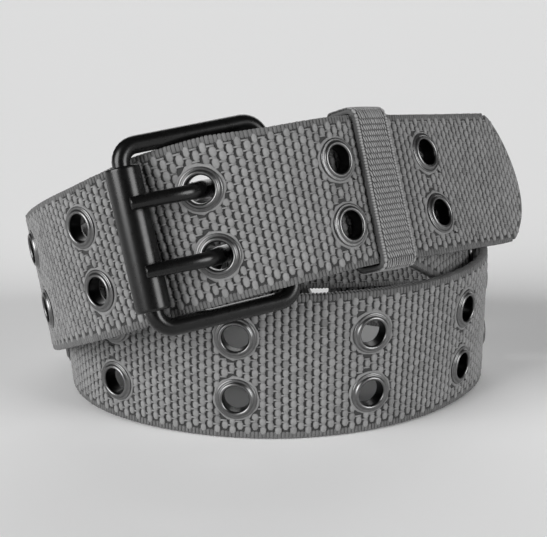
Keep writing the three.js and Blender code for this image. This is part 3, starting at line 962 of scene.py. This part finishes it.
holeAt, holeAlong, holeAcross, holeOut = (rows[0] for rows in framesAt(route, prongPlace))
for name, w in (("upper", belt["rowSpacing"] / 2), ("lower", -belt["rowSpacing"] / 2)):
    hole = holeAt + holeAcross * w
    level = float((hole - barAxis) @ buckleUp)
    curl = buckle["wire"] / 2 + buckle["partGap"] + buckle["prong"] / 2
    points = []
    for degrees in prongShape["curlDegrees"]:
        turn = math.radians(degrees)
        points.append(bucklePlace(curl * math.cos(turn), level, curl * math.sin(turn)))
    outside = halfThick + 0.95 + buckle["prong"] / 2 + buckle["partGap"]
    points.append(hole - holeOut * (outside + 0.6) + holeAlong * 2.4)
    points.append(hole)
    points.append(hole + holeOut * outside - holeAlong * 2.6)
    rest = buckle["roller"] / 2 + buckle["partGap"] + buckle["prong"] / 2
    points.append(bucklePlace(buckle["reach"] - 4, level, rest + 0.5))
    points.append(bucklePlace(buckle["reach"] + 1.2, level, rest))
    spans = splineSpans(points, True)
    u = np.linspace(0, len(spans), prongShape["stations"])
    centres, slopes = spanValue(spans, u), unit(spanSlope(spans, u))
    wide = np.interp(u, prongShape["marks"], prongShape["wide"])
    high = np.interp(u, prongShape["marks"], prongShape["high"])
    stations = list(zip(centres, slopes, [buckleUp] * len(u), wide, high))
    bm = bmesh.new()
    tube(bm, stations, prongShape["segments"], bevelEnds=prongShape["bevel"])
    mesh = meshOf(bm, "prong")
    writePoints(mesh, place(readPoints(mesh)))
    prong = addPiece(f"prong_{name}_pin", mesh, blackGloss)
    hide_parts(f"prong_{name}")
print("buckle made")

# keeper: a flat loop of finer webbing round the tip and the strap under it
loop = {
    "side": 0.35,  # slack at the strap's edges
    "front": 0.3,
    "corner": 1.3,
    "ribRise": 1.45,
    "strand": 0.82,
    "high": 0.3,
    "slant": 0.36,
    "cornerSteps": 6,
    "groundLines": (8, 96),  # of the ground, across the band and round the loop
    "groundInset": 0.8,
    # painted shade: the keeper's ground between the strands is coloured dark
    "groundShade": 0.12,
}


def loopPath():
    # points round the loop in (across, out), with their outward directions and distances
    top = belt["width"] / 2 + loop["side"]
    front = halfThick + loop["front"]
    back = -(belt["thick"] + belt["layerGap"]) - halfThick - loop["front"]
    corner = loop["corner"]
    places, outwards = [], []
    side, over, under = top - corner, front - corner, back + corner
    steps = loop["cornerSteps"]
    for w, t, start in ((side, over, 0), (side, under, -90), (-side, under, -180), (-side, over, -270)):
        for step in range(steps + 1):
            angle = math.radians(start + 90 - 90 * step / steps)
            direction = np.array([math.cos(angle), math.sin(angle)])
            places.append(np.array([w, t]) + direction * corner)
            outwards.append(direction)
    places.append(places[0])
    outwards.append(outwards[0])
    steps = np.linalg.norm(np.diff(np.array(places), axis=0), axis=1)
    return np.array(places), np.array(outwards), np.concatenate([[0], np.cumsum(steps)])


loopPlaces, loopOutwards, loopDistances = loopPath()
keeperMid = prongPlace + keeper["station"]


def wrapLoop(flat):
    # flat holds distance along the strap from the keeper's middle, distance round the loop and height
    run = np.mod(flat[:, 1], loopDistances[-1])
    w, t = (np.interp(run, loopDistances, column) for column in loopPlaces.T)
    outW, outT = (np.interp(run, loopDistances, column) for column in loopOutwards.T)
    rise = flat[:, 2] / np.hypot(outW, outT)
    return wrap(np.stack([keeperMid + flat[:, 0], w + outW * rise, t + outT * rise], axis=1))


bm = bmesh.new()
across, rounds = loop["groundLines"]
bmesh.ops.create_grid(bm, x_segments=across, y_segments=rounds, size=0.5)
bmesh.ops.solidify(bm, geom=bm.faces[:], thickness=1.0)
bmesh.ops.recalc_face_normals(bm, faces=bm.faces[:])
mesh = meshOf(bm, "keeperGround")
flat = readPoints(mesh)
level = flat[:, 2] > flat[:, 2].mean()
flat[:, 0] *= keeper["wide"] - loop["groundInset"]
flat[:, 1] = (flat[:, 1] + 0.5) * (loopDistances[-1] - 0.02)
flat[:, 2] = np.where(level, keeper["thick"] - loop["high"], 0.02)
keeperParts = [(mesh, flat, np.full(len(flat), loop["groundShade"]))]


def strandUnit(wide, long, high, slant):
    bm = bmesh.new()
    for verts, (scale, level) in zip(stackedRings(bm), ((1.0, -0.15), (1.0, high * 0.45), (0.6, high))):
        for vert in verts:
            x, y = vert.co.x * wide * scale, vert.co.y * long * (scale + 1) / 2
            vert.co = (x + y * slant, y, level)
    bmesh.ops.recalc_face_normals(bm, faces=bm.faces[:])
    return bm


ribRows = round(loopDistances[-1] / loop["ribRise"])
rowRise = loopDistances[-1] / ribRows
strands = math.floor((keeper["wide"] - 2.6) / loop["strand"])
for border in (False, True):
    if border:
        bm = strandUnit(0.62, rowRise * 0.27, loop["high"] * 0.9, 0.0)
        columns, step, rows, rise = 2, keeper["wide"] - 1.25, ribRows * 2, rowRise / 2
    else:
        bm = strandUnit(0.36, rowRise * 0.56, loop["high"], -loop["slant"])
        columns, step, rows, rise = strands, loop["strand"], ribRows, rowRise
    single = len(bm.verts)
    mesh = arrayed(meshOf(bm, "strands"), columns, step, rows, rise)
    points = readPoints(mesh).reshape(-1, single, 3)
    points[..., 0] -= step * (columns - 1) / 2
    loose = draw.normal(0, 1, (len(points), 2))
    level = points[..., 2].copy()
    points[..., 0] += 0.03 * loose[:, :1]
    points[..., 2] = points[..., 2] * (1 + 0.06 * loose[:, 1:]) + keeper["thick"] - loop["high"]
    # painted shade: each strand runs from dark at its foot to light at its top
    tone = np.interp(level, [-0.15, loop["high"] * 0.45, loop["high"]], [0.1, 0.55, 0.88])
    tone *= 1 + 0.05 * loose[:, 1:]
    keeperParts.append((mesh, points.reshape(-1, 3), tone.ravel()))
whole = joined([mesh for mesh, flat, tone in keeperParts], "keeper_loop")
flat = np.vstack([flat for mesh, flat, tone in keeperParts])
addClothMap(whole, flat)
addTone(whole, np.concatenate([tone for mesh, flat, tone in keeperParts]))
writePoints(whole, wrapLoop(flat))
band = addPiece("keeper_loop", whole, keeperCloth)
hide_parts("keeper")
print("keeper made", len(band.data.polygons))

# stitches that hold the folded end
stitching = {
    "rows": (3.0, 9.5),  # distance from the strap's end
    "count": 12,
    "pitch": 2.7,
    "wide": 0.32,
    "long": 1.1,
    "high": 0.35,
    "sunk": 0.1,
    "tone": 0.9,
}
stitchMeshes, stitchFlats = [], []
for s in stitching["rows"]:
    for index in range(stitching["count"]):
        mesh = meshOf(strandUnit(stitching["wide"], stitching["long"], stitching["high"], 0.0), "stitch")
        flat = readPoints(mesh)
        flat[:, 0] += s
        flat[:, 1] += (index - (stitching["count"] - 1) / 2) * stitching["pitch"]
        flat[:, 2] += halfThick - stitching["sunk"]
        stitchMeshes.append(mesh)
        stitchFlats.append(flat)
whole = joined(stitchMeshes, "fold_stitches")
flat = np.vstack(stitchFlats)
addClothMap(whole, flat)
addTone(whole, np.full(len(flat), stitching["tone"]))
writePoints(whole, wrap(layReturn(flat)))
addPiece("fold_stitches", whole, threadCloth)
print("stitches made")

# floor, lights and camera
studio = {
    "floor": 0.92,
    "world": 0.05,
    "lens": 93.03,
    "cameraSpot": (-0.53, -391.2, 130.0),
    "cameraTilt": 75.64,
    "floorReach": 6.0,
    "floorDrop": 0.0002,
    # azimuth from the camera's side towards the right, elevation, spread and strength
    "suns": {
        "leftBox": (-54, 19, 44, 3.6),
        "rightBox": (60, 17, 34, 2.2),
        "rearBox": (172, 14, 60, 1.6),
    },
}
bm = bmesh.new()
bmesh.ops.create_grid(bm, x_segments=1, y_segments=1, size=studio["floorReach"])
floorMesh = meshOf(bm, "floor")
paper = Nodes("paper")
paper.shader.inputs["Base Color"].default_value = grey(studio["floor"])
paper.shader.inputs["Roughness"].default_value = 0.9
paper.shader.inputs["Specular IOR Level"].default_value = 0.1
floorMesh.materials.append(paper.material)
floor = bpy.data.objects.new("floor", floorMesh)
bpy.context.scene.collection.objects.link(floor)
floor.location.z = -studio["floorDrop"]

world = bpy.data.worlds.new("studio")
world.use_nodes = True
background = world.node_tree.nodes["Background"]
background.inputs["Color"].default_value = grey(1)
background.inputs["Strength"].default_value = studio["world"]
bpy.context.scene.world = world

for name, (azimuth, elevation, spread, strength) in studio["suns"].items():
    sun = bpy.data.lights.new(name, "SUN")
    sun.angle = math.radians(spread)
    sun.energy = strength
    light = bpy.data.objects.new(name, sun)
    turn, rise = math.radians(azimuth), math.radians(elevation)
    towards = Vector((math.sin(turn) * math.cos(rise), -math.cos(turn) * math.cos(rise), math.sin(rise)))
    light.rotation_euler = towards.to_track_quat("Z", "Y").to_euler()
    bpy.context.scene.collection.objects.link(light)

camera = bpy.data.objects.new("camera", bpy.data.cameras.new("camera"))
camera.data.lens = studio["lens"]
camera.data.sensor_width = 36.0
camera.location = place(studio["cameraSpot"])
camera.rotation_euler = (math.radians(studio["cameraTilt"]), 0, 0)
camera.data.clip_start = 0.01
bpy.context.scene.collection.objects.link(camera)
bpy.context.scene.camera = camera
bpy.context.scene.view_settings.view_transform = "Standard"
print("studio made")
